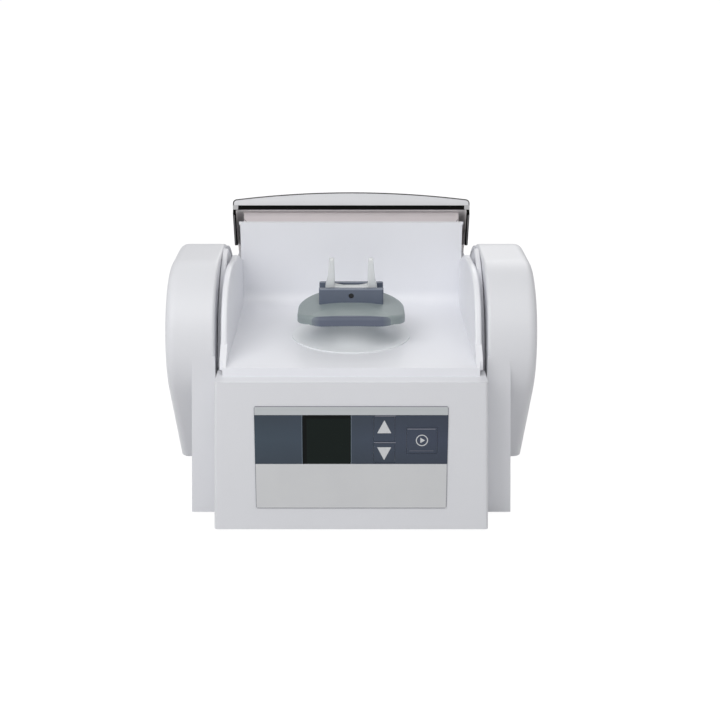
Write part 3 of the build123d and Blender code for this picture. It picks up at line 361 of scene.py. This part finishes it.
def lid_plastic():
    plastic = Finish("lid_white", IOR=1.46)
    _, y, z = plastic.where()
    grain = plastic.noise(900.0)
    back, up = y - PIVOT.y, z - PIVOT.z
    # Within the hood's inner radius the colour is painted near white: painted light on a face in
    # shade.
    painted_light_inside = back * back + up * up < VISOR_MIDDLE ** 2
    outer = plastic.mottle(shade(217, 218, 221), shade(226, 226, 229), scale=7.0, detail=2.0)
    plastic.set(Base_Color=plastic.blend(painted_light_inside, outer, shade(248, 244, 244)),
                Roughness=0.24 + 0.1 * grain)
    plastic.bump(grain, depth=0.00008, strength=0.35)
    return plastic


dress(lid_plastic(), "lid")


# Bead of painted shade on the lid's lip
# A thin dark bead follows the crown of the lip, turns the corner and ends at the seal. Its dark
# colour is painted shade: the dark edge line that the lip's rounded crown shows.
LIP_ANGLE = math.radians(59.7)
LIP_TOP = 0.1435
LIP_ARC = 0.7752
LIP_CORNER = (0.0982, 0.13373)
LIP_CORNER_RADIUS = 0.0035
ARC_SHARE = math.asin(LIP_CORNER[0] / (LIP_ARC - LIP_CORNER_RADIUS))
BEAD_WIDTH = 0.0009
BEAD_DEPTH = 0.0002
BEAD_TAIL = 0.0024
BEAD_STEPS = 10
MIDDLE_REACH = 0.0001
UPRIGHT = (0.0, 0.0, 1.0)


def thin_strip_finish(name, deep, pale):
    plastic = Finish(name, Specular_IOR_Level=0.3)
    plastic.set(Base_Color=plastic.mottle(deep, pale, scale=70.0))
    plastic.gloss(0.4, spread=0.12, scale=700.0)
    plastic.grain(scale=1300.0, depth=0.00008, strength=0.4)
    return plastic


def put_on_lip(piece):
    # The piece was drawn flat, with its height as its distance from the pivot.
    lay(piece, PIVOT, Matrix.Rotation(LIP_ANGLE, 4, "X"))


def lip_bead():
    # The bead's section is swept along the crown's wide arc, then round the corner's small one.
    bead = clean_start(bpy.ops.mesh.primitive_plane_add, "lid_edge_shade_bead", size=1.0)
    bpy.ops.transform.resize(value=(BEAD_DEPTH, BEAD_WIDTH, 1.0))
    bpy.ops.transform.rotate(value=math.pi / 2, orient_axis="Y", center_override=(0.0, 0.0, 0.0))
    bpy.ops.transform.translate(value=(0.0, LIP_TOP - BEAD_WIDTH / 2, BEAD_DEPTH / 2))
    bpy.ops.mesh.spin(steps=BEAD_STEPS, angle=ARC_SHARE, center=(0.0, LIP_TOP - LIP_ARC, 0.0),
                      axis=UPRIGHT)
    bpy.ops.mesh.spin(steps=BEAD_STEPS, angle=math.pi / 2 - ARC_SHARE, center=(*LIP_CORNER, 0.0),
                      axis=UPRIGHT)
    extrude(0.0, -BEAD_TAIL, 0.0)
    choose(bead, lambda face: abs(face.calc_center_median().x) < MIDDLE_REACH, "FACE")
    bpy.ops.mesh.delete(type="FACE")
    mirror_over(bead)
    put_on_lip(bead)
    # The bead's dark colour is painted shade along the lip's crown.
    dark = thin_strip_finish("bead_painted_shade", shade(58, 57, 58), shade(74, 73, 74))
    finish_piece(bead, "lid_body", dark)


lip_bead()


# Lid seal
# A black rubber strip runs round the rim and hangs down both sides. Its corners are light squares
# of the moulding, and a fine light edge holds each hanging run.
SEAL_CORNER = (0.0046, 0.0040, 0.0002)
SEAL_CORNER_PLACE = (0.0992, 0.1294, 0.0017)
SEAL_CORNER_ROUNDING = 0.0006
SEAL_EDGE = (0.0008, 0.0300, 0.0002)
SEAL_EDGE_PLACE = (0.1005, 0.0156, 0.0)
SEAL_EDGE_ROUNDING = 0.00008
SEAL_LEG_END = Vector((0.0, 0.0767, 0.1712))
SEAL_LEG_ANGLE = math.radians(108.4)


def seal_rubber():
    strip = Finish("seal_black", Specular_IOR_Level=0.06)
    strip.set(Base_Color=strip.mottle(shade(4, 4, 4), shade(10, 9, 9), scale=200.0))
    strip.gloss(0.5, spread=0.2, scale=700.0)
    strip.grain(scale=2200.0, depth=0.0001, strength=0.5)
    return strip


def start_block(name, size, middle=(0.0, 0.0, 0.0)):
    # A block of that size round its middle, opened for shaping.
    block = clean_start(bpy.ops.mesh.primitive_cube_add, name, size=1.0)
    bpy.ops.transform.resize(value=size)
    bpy.ops.transform.translate(value=middle)
    return block


def round_edges(piece, keep, offset, segments):
    choose(piece, keep, "EDGE")
    bpy.ops.mesh.bevel(offset=offset, segments=segments)


def stands_up(edge):
    return abs(edge.verts[0].co.z - edge.verts[1].co.z) > SAME_PLACE


def seal_corners():
    corner = start_block("lid_seal_corners", SEAL_CORNER, SEAL_CORNER_PLACE)
    round_edges(corner, stands_up, SEAL_CORNER_ROUNDING, 3)
    mirror_over(corner)
    put_on_lip(corner)
    grey = thin_strip_finish("corner_grey", shade(176, 176, 178), shade(190, 190, 191))
    finish_piece(corner, "lid_body", grey)


def seal_edges():
    strip = start_block("lid_seal_edges", SEAL_EDGE, SEAL_EDGE_PLACE)
    round_edges(strip, lambda edge: edge.calc_length() < SEAL_EDGE[1] / 2, SEAL_EDGE_ROUNDING, 2)
    mirror_over(strip)
    lay(strip, SEAL_LEG_END, Matrix.Rotation(SEAL_LEG_ANGLE, 4, "X"))
    grey = thin_strip_finish("edge_grey", shade(120, 119, 121), shade(138, 137, 139))
    finish_piece(strip, "lid_body", grey)


dress(seal_rubber(), "lid_seal")
seal_corners()
seal_edges()


# Flange inside the lid's rim
# A pale flange of the same moulding closes the rim from inside. A dark line at each end is painted
# shade of a crease, where the rim would fold along a mitre.
# It leans back, so that it clears the chamber when the lid comes down.
FLANGE_FOOT = Vector((0.0, 0.0702, 0.1906))
FLANGE_LEAN = math.radians(73.0)
FLANGE_WIDTH = 0.185
FLANGE_HEIGHT = 0.0113
FLANGE_THICKNESS = 0.0010
FLANGE_ROUNDING = 0.0003
CREASE_X, CREASE_Z = 0.0872, 0.1902
CREASE_SLOPE = 0.95
CREASE_HALF_WIDTH = 0.00035


def rim_plastic():
    plastic = Finish("rim_plastic", IOR=1.46)
    x, _, z = plastic.where()
    # A dark line is painted along a mitre at each end: painted shade of a crease.
    crease_shade = (x.size() - (z - CREASE_Z) * CREASE_SLOPE - CREASE_X).size() < CREASE_HALF_WIDTH
    grey = plastic.mottle(shade(220, 212, 213), shade(210, 203, 205), scale=30.0)
    plastic.set(Base_Color=plastic.blend(crease_shade, grey, shade(128, 124, 126)))
    plastic.gloss(0.36, spread=0.1, scale=800.0)
    plastic.grain(scale=900.0, depth=0.00008, strength=0.35)
    return plastic


def rim_flange():
    flange = start_block("lid_rim_flange", (FLANGE_WIDTH, FLANGE_HEIGHT, FLANGE_THICKNESS),
                         (0.0, FLANGE_HEIGHT / 2, -FLANGE_THICKNESS / 2))
    round_edges(flange, lambda edge: edge.calc_length() > FLANGE_WIDTH / 2, FLANGE_ROUNDING, 2)
    lay(flange, FLANGE_FOOT, Matrix.Rotation(FLANGE_LEAN, 4, "X"))
    finish_piece(flange, "lid_body", rim_plastic())


rim_flange()


# Lid hinge
# Two white side frames hold bright steel pins in black plastic bushes, and the lid turns on them.
# Rubber stops catch it at both ends, and a small switch feels when it is shut.
def dark_plastic():
    plastic = Finish("dark_plastic", IOR=1.46)
    plastic.set(Base_Color=plastic.mottle(shade(30, 31, 34), shade(42, 43, 46), scale=60.0))
    plastic.gloss(0.38, spread=0.14, scale=700.0)
    plastic.grain(scale=1300.0, depth=0.00012, strength=0.5)
    return plastic


dark_finish = dark_plastic()
dress(chamber_white, "left_side_frame", "right_side_frame")
dress(steel_finish, "left_lid_pivot", "right_lid_pivot")
dress(dark_finish, "left_lid_bush", "right_lid_bush", "lid_switch")
dress(rubber_finish, "lid_stops")


# Keypad film and keys
# A printed film is glued to the sloping front: a light strip, a slate band with the keys and the
# window, and a light grey foot. The keys are pads of the same film.
LABEL_HALF = 0.0718
LABEL_LOW, LABEL_HIGH = 0.0195, 0.1006
LABEL_OUTLINE = 0.0004
BAND_LOW, BAND_HIGH = 0.0552, 0.0939
BAND_MIDDLE = 0.0745
BAND_HUE_CHANGE = 6.0
BAND_EDGE_FADE = 30.0
WINDOW_X, WINDOW_HALF = -0.01825, 0.0182
WINDOW_LINE = 0.0003


def slate_print(film):
    # The slate is a little greener on its left and bluer on its right, and fades towards its edges.
    x, _, z = film.where()
    slate = film.blend(x * BAND_HUE_CHANGE + 0.5, shade(60, 74, 86), shade(60, 67, 86))
    patches = film.noise(26.0, detail=1.0) * 0.5 - 0.25
    fade = (z - BAND_MIDDLE).size() * BAND_EDGE_FADE + patches
    return film.blend(fade, slate, shade(48, 57, 68))


def printed_film(name, banded):
    film = Finish(name, Specular_IOR_Level=0.35)
    ink = slate_print(film)
    if banded:
        x, _, z = film.where()
        grey = film.mottle(shade(210, 211, 213), shade(217, 218, 219), scale=40.0)
        grey = film.blend(z > BAND_HIGH, grey, shade(197, 201, 203))
        outline = ((x.size() > LABEL_HALF - LABEL_OUTLINE) | (z < LABEL_LOW + LABEL_OUTLINE)
                   | (z > LABEL_HIGH - LABEL_OUTLINE))
        grey = film.blend(outline, grey, shade(128, 128, 138))
        window_sides = ((x - WINDOW_X).size() - WINDOW_HALF).size() < WINDOW_LINE
        ink = film.blend(window_sides, ink, shade(104, 116, 128))
        ink = film.blend((z > BAND_LOW) * (z < BAND_HIGH), grey, ink)
    film.set(Base_Color=ink)
    film.gloss(0.34, spread=0.1, scale=800.0)
    film.grain(scale=1600.0, depth=0.00005, strength=0.4)
    return film


dress(printed_film("label_film", True), "keypad_overlay")
dress(printed_film("key_film", False), "key_up", "key_down", "key_start")


# Display window
# A dark, glossy pane is let into the film over the display. The shadow of its frame darkens it
# along the left and the top.
PANE_LEFT, PANE_TOP = -0.0331, 0.0912


def dark_window():
    glass = Finish("window_dark", Specular_IOR_Level=0.12)
    x, _, z = glass.where()
    rim = (x < PANE_LEFT) | (z > PANE_TOP)
    glass.set(Base_Color=glass.blend(rim, shade(14, 24, 21), shade(4, 9, 8)))
    glass.gloss(0.2, spread=0.1, scale=500.0)
    return glass


dress(dark_window(), "display_window")


# Printed signs
# Pale ink is screened on the film: an arrow on the up key and the down key, fine lines round the
# keys, and on the start key a ring with a wedge inside.
FRONT_LEAN = math.radians(1.76)
FRONT_MIDDLE = Vector((0.0, -0.134016, 0.06005))
FRONT_UP = Vector((0.0, math.sin(FRONT_LEAN), math.cos(FRONT_LEAN)))
FRONT_OUT = Vector((0.0, -math.cos(FRONT_LEAN), math.sin(FRONT_LEAN)))
FILM_THICKNESS = 0.0005
INK_THICKNESS = 0.00008
ARROW_X = 0.0245
ARROW_RADIUS = 0.0062
ARROW_STRETCH = (0.98, 1.10, 1.0)
ARROW_ROUNDING = 0.0004
START_PLACE = (0.0525, 0.0740)
START_RADIUS = 0.0045
START_STROKE = 0.0007
START_WEDGE = 0.0024
WEDGE_ROUNDING = START_WEDGE * 0.12
LINE_ROUNDING_SHARE = 0.35


def printed_ink(name, deep, pale):
    ink = Finish(name, IOR=1.5)
    ink.set(Base_Color=ink.mottle(deep, pale, scale=90.0))
    ink.gloss(0.4, spread=0.1, scale=800.0)
    return ink


def put_on_front(piece, x, z, lift=FILM_THICKNESS):
    # The piece was drawn flat. It goes on the sloping front, at that place across and up.
    up = (z - FRONT_MIDDLE.z) / FRONT_UP.z
    spot = FRONT_MIDDLE + Vector((x, 0.0, 0.0)) + FRONT_UP * up + FRONT_OUT * lift
    lay(piece, spot, Matrix((Vector((1.0, 0.0, 0.0)), FRONT_UP, FRONT_OUT)).transposed().to_4x4())


def thicken_ink():
    extrude(0.0, 0.0, INK_THICKNESS)
    point_outwards()


def printed_wedge(name, radius, turn, rounding, stretch=(1.0, 1.0, 1.0)):
    # A three-cornered sign with soft corners.
    wedge = clean_start(bpy.ops.mesh.primitive_circle_add, name, vertices=3, radius=radius,
                        fill_type="NGON")
    bpy.ops.transform.resize(value=stretch)
    bpy.ops.transform.rotate(value=turn, orient_axis="Z", center_override=(0.0, 0.0, 0.0))
    bpy.ops.mesh.bevel(offset=rounding, segments=3, affect="VERTICES")
    thicken_ink()
    return wedge


def printed_arrow(name, z, body, turn):
    arrow = printed_wedge(name, ARROW_RADIUS, turn, ARROW_ROUNDING, ARROW_STRETCH)
    put_on_front(arrow, ARROW_X, z)
    finish_piece(arrow, body, pale_finish)


def printed_line(name, body, x, z, length, thickness):
    line = start_block(name, (length, thickness, INK_THICKNESS))
    round_edges(line, stands_up, thickness * LINE_ROUNDING_SHARE, 2)
    put_on_front(line, x, z, FILM_THICKNESS + INK_THICKNESS / 2)
    finish_piece(line, body, faint_finish)


def start_sign():
    ring = clean_start(bpy.ops.mesh.primitive_circle_add, "start_ring_print", vertices=40,
                       radius=START_RADIUS, fill_type="NGON")
    bpy.ops.mesh.inset(thickness=START_STROKE)
    bpy.ops.mesh.delete(type="FACE")
    bpy.ops.mesh.select_all(action="SELECT")
    thicken_ink()
    wedge = printed_wedge("start_wedge_print", START_WEDGE, math.pi / 2, WEDGE_ROUNDING)
    for sign in (ring, wedge):
        put_on_front(sign, *START_PLACE)
        finish_piece(sign, "start_key", pale_finish)


pale_finish = printed_ink("pale_ink", shade(206, 208, 210), shade(216, 218, 220))
faint_finish = printed_ink("faint_ink", shade(128, 130, 142), shade(140, 141, 152))
printed_arrow("arrow_up_print", z=0.0832, body="up_key", turn=0.0)
printed_arrow("arrow_down_print", z=0.0650, body="down_key", turn=math.pi)
printed_line("arrow_line_top", "base", x=0.0250, z=0.0931, length=0.0155, thickness=0.0005)
printed_line("arrow_line_middle", "base", x=0.0250, z=0.0722, length=0.0160, thickness=0.0006)
printed_line("start_line_top", "start_key", x=0.0520, z=0.0829, length=0.0208, thickness=0.0005)
printed_line("start_line_low", "start_key", x=0.0522, z=0.0657, length=0.0180, thickness=0.0002)
start_sign()


# Circuit boards
# Green glass-fibre boards stand behind the keypad and beside the motor, with copper tracks under
# a lacquer. The display, the key switches and the other parts on them have black cases.
TRACK_LEVEL = 0.52


def circuit_board():
    board = Finish("circuit_board", IOR=1.5, Roughness=0.35)
    tracks = board.noise(180.0, detail=1.0) > TRACK_LEVEL
    board.set(Base_Color=board.blend(tracks, shade(22, 78, 44), shade(34, 104, 58)))
    board.bump(tracks, depth=0.00004, strength=0.5)
    return board


dress(circuit_board(), "control_board", "power_board")
dress(dark_finish, "key_switches", "display_module", "board_components")


# Arm shield and head
# A slate plastic shield crowns the arm where it leaves the chamber's floor, and keeps powder off
# the seal disc. The bluer head block on it takes the fork, and a dark screw holds it to the arm.
HOLLOW_DEPTH, HOLLOW_CURVE = 0.003, 30.0
RIM_FRONT, RIM_TOP = -0.0742, 0.1525
RIM_FADES_FROM, RIM_FADES_TO = 0.024, 0.036
HIGHLIGHT_FRONT, HIGHLIGHT_TOP = -0.0442, 0.1648


def shield_plastic():
    # The shield's top is painted a lighter, greener slate than its hollow front rim; its lightness
    # is painted sheen on the upward face.
    plastic = Finish("shield_plastic", IOR=1.46)
    x, y, z = plastic.where()
    across = x * HOLLOW_CURVE
    hollow = (1.0 - across * across) * HOLLOW_DEPTH
    ends = plastic.node("ShaderNodeMapRange", i0=x.size(), i1=RIM_FADES_FROM, i2=RIM_FADES_TO,
                        i3=1.0, i4=0.0)
    rim = (y < hollow + RIM_FRONT) * (z < RIM_TOP) * plastic.level(ends.outputs[0])
    top = plastic.mottle(shade(136, 147, 149), shade(147, 157, 158), scale=30.0)
    plastic.set(Base_Color=plastic.blend(rim, top, shade(94, 101, 118)))
    plastic.gloss(0.36, spread=0.1, scale=600.0)
    plastic.grain(scale=1100.0, depth=0.00012, strength=0.5)
    return plastic


def head_plastic():
    # The block's upper front edge is painted lighter: a painted highlight along the edge.
    plastic = Finish("head_plastic", IOR=1.46)
    _, y, z = plastic.where()
    painted_highlight = (z > HIGHLIGHT_TOP) * (y < HIGHLIGHT_FRONT)
    slate = plastic.mottle(shade(94, 103, 120), shade(104, 112, 128), scale=40.0)
    plastic.set(Base_Color=plastic.blend(painted_highlight, slate, shade(132, 140, 156)))
    plastic.gloss(0.34, spread=0.1, scale=600.0)
    plastic.grain(scale=1100.0, depth=0.00012, strength=0.5)
    return plastic


dress(shield_plastic(), "arm_shield")
dress(head_plastic(), "holder_head")
dress(dark_finish, "head_screw")
dress(steel_finish, "holder_screw", "shaking_arm")


# Capsule fork
# Two springy prongs stand on a hollowed bar, moulded together in a clear, milky plastic. They
# taper to rounded tips, and a capsule is clipped between them.
FORK_Y = -0.0332
FOOT_SIZE = (0.0072, 0.0110, 0.0064)
FOOT_MIDDLE = (0.0168, FORK_Y, 0.1627)
FOOT_INNER_X, FOOT_TOP = 0.0133, 0.1665
WAIST_RISE, WAIST_TAPER, WAIST_X = (-0.0006, 0.0, 0.0052), (0.78, 0.94, 1.0), 0.0149
TIP_RISE, TIP_TAPER, TIP_X = (-0.0001, 0.0, 0.0160), (0.66, 0.86, 1.0), 0.0146
BAR_STEPS = (0.0070, 0.0062)
BAR_HOLLOW_X, BAR_HOLLOW_ABOVE = 0.0070, 0.1650
BAR_HOLLOW_DEPTH = 0.0013
FORK_ROUNDING = 0.0007
SQUARELY = 0.9


def clear_plastic():
    plastic = Finish("fork_clear", IOR=1.46, Transmission_Weight=0.3)
    plastic.set(Base_Color=plastic.mottle(shade(238, 242, 243), shade(246, 248, 249), scale=60.0))
    plastic.gloss(0.26, spread=0.1, scale=500.0)
    plastic.grain(scale=700.0, depth=0.0001, strength=0.4)
    return plastic


def capsule_fork():
    # One foot grows up into its prong and inwards into half of the bar. The mirror adds the rest.
    fork = start_block("capsule_fork", FOOT_SIZE, FOOT_MIDDLE)
    choose(fork, lambda face: face.normal.z > SQUARELY, "FACE")
    for rise, taper, x in ((WAIST_RISE, WAIST_TAPER, WAIST_X), (TIP_RISE, TIP_TAPER, TIP_X)):
        extrude(*rise)
        bpy.ops.transform.resize(value=taper, center_override=(x, FORK_Y, 0.0))
    choose(fork, lambda face: (face.normal.x < -SQUARELY
                               and face.calc_center_median().z < FOOT_TOP), "FACE")
    bpy.ops.mesh.delete(type="FACE")
    choose(fork, lambda edge: all(vert.co.x < FOOT_INNER_X and vert.co.z < FOOT_TOP
                                  for vert in edge.verts), "EDGE")
    for step in BAR_STEPS:
        extrude(-step, 0.0, 0.0)
    choose(fork, lambda vert: vert.co.x < BAR_HOLLOW_X and vert.co.z > BAR_HOLLOW_ABOVE)
    bpy.ops.transform.translate(value=(0.0, 0.0, -BAR_HOLLOW_DEPTH))
    mirror_over(fork)
    rounding = fork.modifiers.new("rounding", "BEVEL")
    rounding.width = FORK_ROUNDING
    rounding.segments = 3
    rounding.limit_method = "ANGLE"
    bpy.ops.object.modifier_apply(modifier="rounding")
    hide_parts("capsule_holder")
    finish_piece(fork, "arm", clear_plastic())


capsule_fork()


# Drive
# The motor, the tilted sleeve with its two rings and the leaf spring sit under the chamber on a
# bent steel bracket. Four rubber mounts keep its shaking from the covers.
def sheet_steel():
    sheet = Finish("sheet_steel", Metallic=1.0)
    lines = sheet.noise(140.0, detail=4.0, stretch=(1.0, 1.0, 9.0))
    sheet.set(Base_Color=sheet.blend(lines, shade(138, 140, 143), shade(172, 174, 177)),
              Roughness=0.34 + 0.2 * lines)
    sheet.bump(lines, depth=0.00008, strength=0.4)
    return sheet


def wound_copper():
    copper = Finish("wound_copper", Metallic=0.8)
    turns = copper.noise(320.0, stretch=(6.0, 1.0, 1.0))
    copper.set(Base_Color=copper.blend(turns, shade(120, 62, 34), shade(196, 116, 68)),
               Roughness=0.3 + 0.2 * turns)
    copper.bump(turns, depth=0.0004, strength=0.6)
    return copper


dress(sheet_steel(), "drive_bracket", "motor_can", "counterweights", "rotor_core")
dress(steel_finish, "shaft_bearings", "drive_shaft", "wobble_sleeve", "wobble_inner_ring",
      "wobble_outer_ring", "anti_rotation_spring")
dress(rubber_finish, "rubber_isolators")
dress(dark_finish, "cooling_fan")
dress(wound_copper(), "motor_stator")


# Power inlet and switch
# A black three-pin socket is screwed into the left flank, low down. A black rocker switch snaps
# into the right flank and tilts in its frame.
dress(dark_finish, "mains_inlet", "power_switch_frame", "power_rocker")
dress(steel_finish, "inlet_pins", "inlet_screws")


# Floor and light
# A pale table stands under three soft lamps in a pale room. The table shows white to the camera
# and keeps the machine's shadow.
FLOOR_SIZE, FLOOR_MIDDLE = 12.0, (0.0, 2.0, 0.0)
FLOOR_GLOW, FLOOR_GLOW_SHARE = 1.2, 0.8
ROOM_ON_MACHINE, ROOM_ON_CAMERA = 0.44, 1.0
LAMP_AIM = Vector((0.0, 0.0, 0.1))
WHITE = (1.0, 1.0, 1.0)

bpy.ops.object.select_all(action="DESELECT")
bpy.ops.mesh.primitive_plane_add(size=FLOOR_SIZE, location=FLOOR_MIDDLE)
floor = bpy.context.object
floor.name = "floor"
table = Finish("floor_white", Roughness=0.9, Specular_IOR_Level=0.1,
               Base_Color=shade(205, 205, 206))
rays = table.node("ShaderNodeLightPath").outputs
seen = (table.level(rays["Is Camera Ray"]) | table.level(rays["Is Glossy Ray"])
        | table.level(rays["Is Transmission Ray"]))
glow = table.node("ShaderNodeEmission", Color=WHITE, Strength=FLOOR_GLOW)
both = table.node("ShaderNodeMixShader", i0=seen * FLOOR_GLOW_SHARE, i1=table.shader.outputs[0],
                  i2=glow.outputs[0])
table.plug(table.tree.nodes["Material Output"].inputs[0], both.outputs[0])
floor.data.materials.append(table.material)

world = bpy.data.worlds.new("room")
world.use_nodes = True
bpy.context.scene.world = world
room = Nodes(world.node_tree)
sky = room.tree.nodes["Background"]
rays = room.node("ShaderNodeLightPath").outputs
strength = room.node("ShaderNodeMapRange", Value=rays["Is Camera Ray"], To_Min=ROOM_ON_MACHINE,
                     To_Max=ROOM_ON_CAMERA)
room.plug(sky.inputs["Color"], WHITE)
room.plug(sky.inputs["Strength"], strength.outputs[0])


def lamp(name, place, size, power):
    data = bpy.data.lights.new(name, "AREA")
    data.shape = "SQUARE"
    data.size = size
    data.energy = power
    light = bpy.data.objects.new(name, data)
    bpy.context.scene.collection.objects.link(light)
    light.location = place
    light.rotation_euler = (LAMP_AIM - Vector(place)).to_track_quat("-Z", "Y").to_euler()


lamp("key_lamp", (-0.75, -0.85, 0.95), size=0.9, power=5.4)
lamp("top_lamp", (-0.1, -1.3, 1.8), size=2.0, power=14.0)
lamp("rear_lamp", (0.5, 2.2, 1.5), size=1.6, power=14.0)

bpy.context.scene.view_settings.view_transform = "Standard"

bpy.context.view_layer.update()
